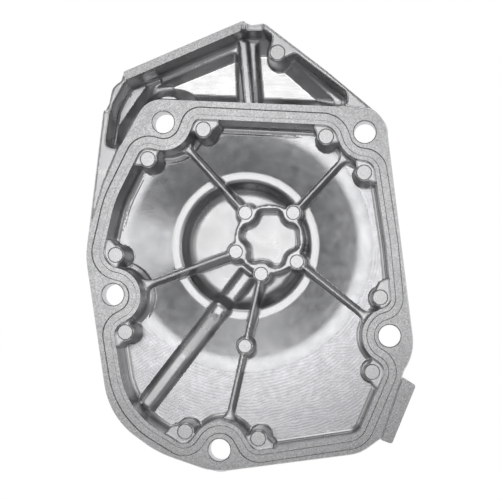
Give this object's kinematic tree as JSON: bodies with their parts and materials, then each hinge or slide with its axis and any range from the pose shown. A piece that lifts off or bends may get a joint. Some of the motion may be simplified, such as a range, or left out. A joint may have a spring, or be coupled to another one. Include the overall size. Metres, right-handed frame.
{
  "type": "stator cover",
  "caption": "Die-cast aluminium stator cover with a machined seal face, seal groove, five bolt holes, ribbed round bowl and side bracket.",
  "frame": {"origin": "centre of the round rest pad on the outer side, on the axis of the round bowl", "axes": "+Z out of the open side, square to the machined seal face; +Y towards the bracket; +X to its right seen into the open side"},
  "size_m": [0.1354, 0.1861, 0.035],
  "materials": {
    "die_cast_aluminium": "as-cast skin inside and out, fine-milled seal face"
  },
  "bodies": {
    "root": {"cover_casting": "die_cast_aluminium"}
  },
  "joints": []
}
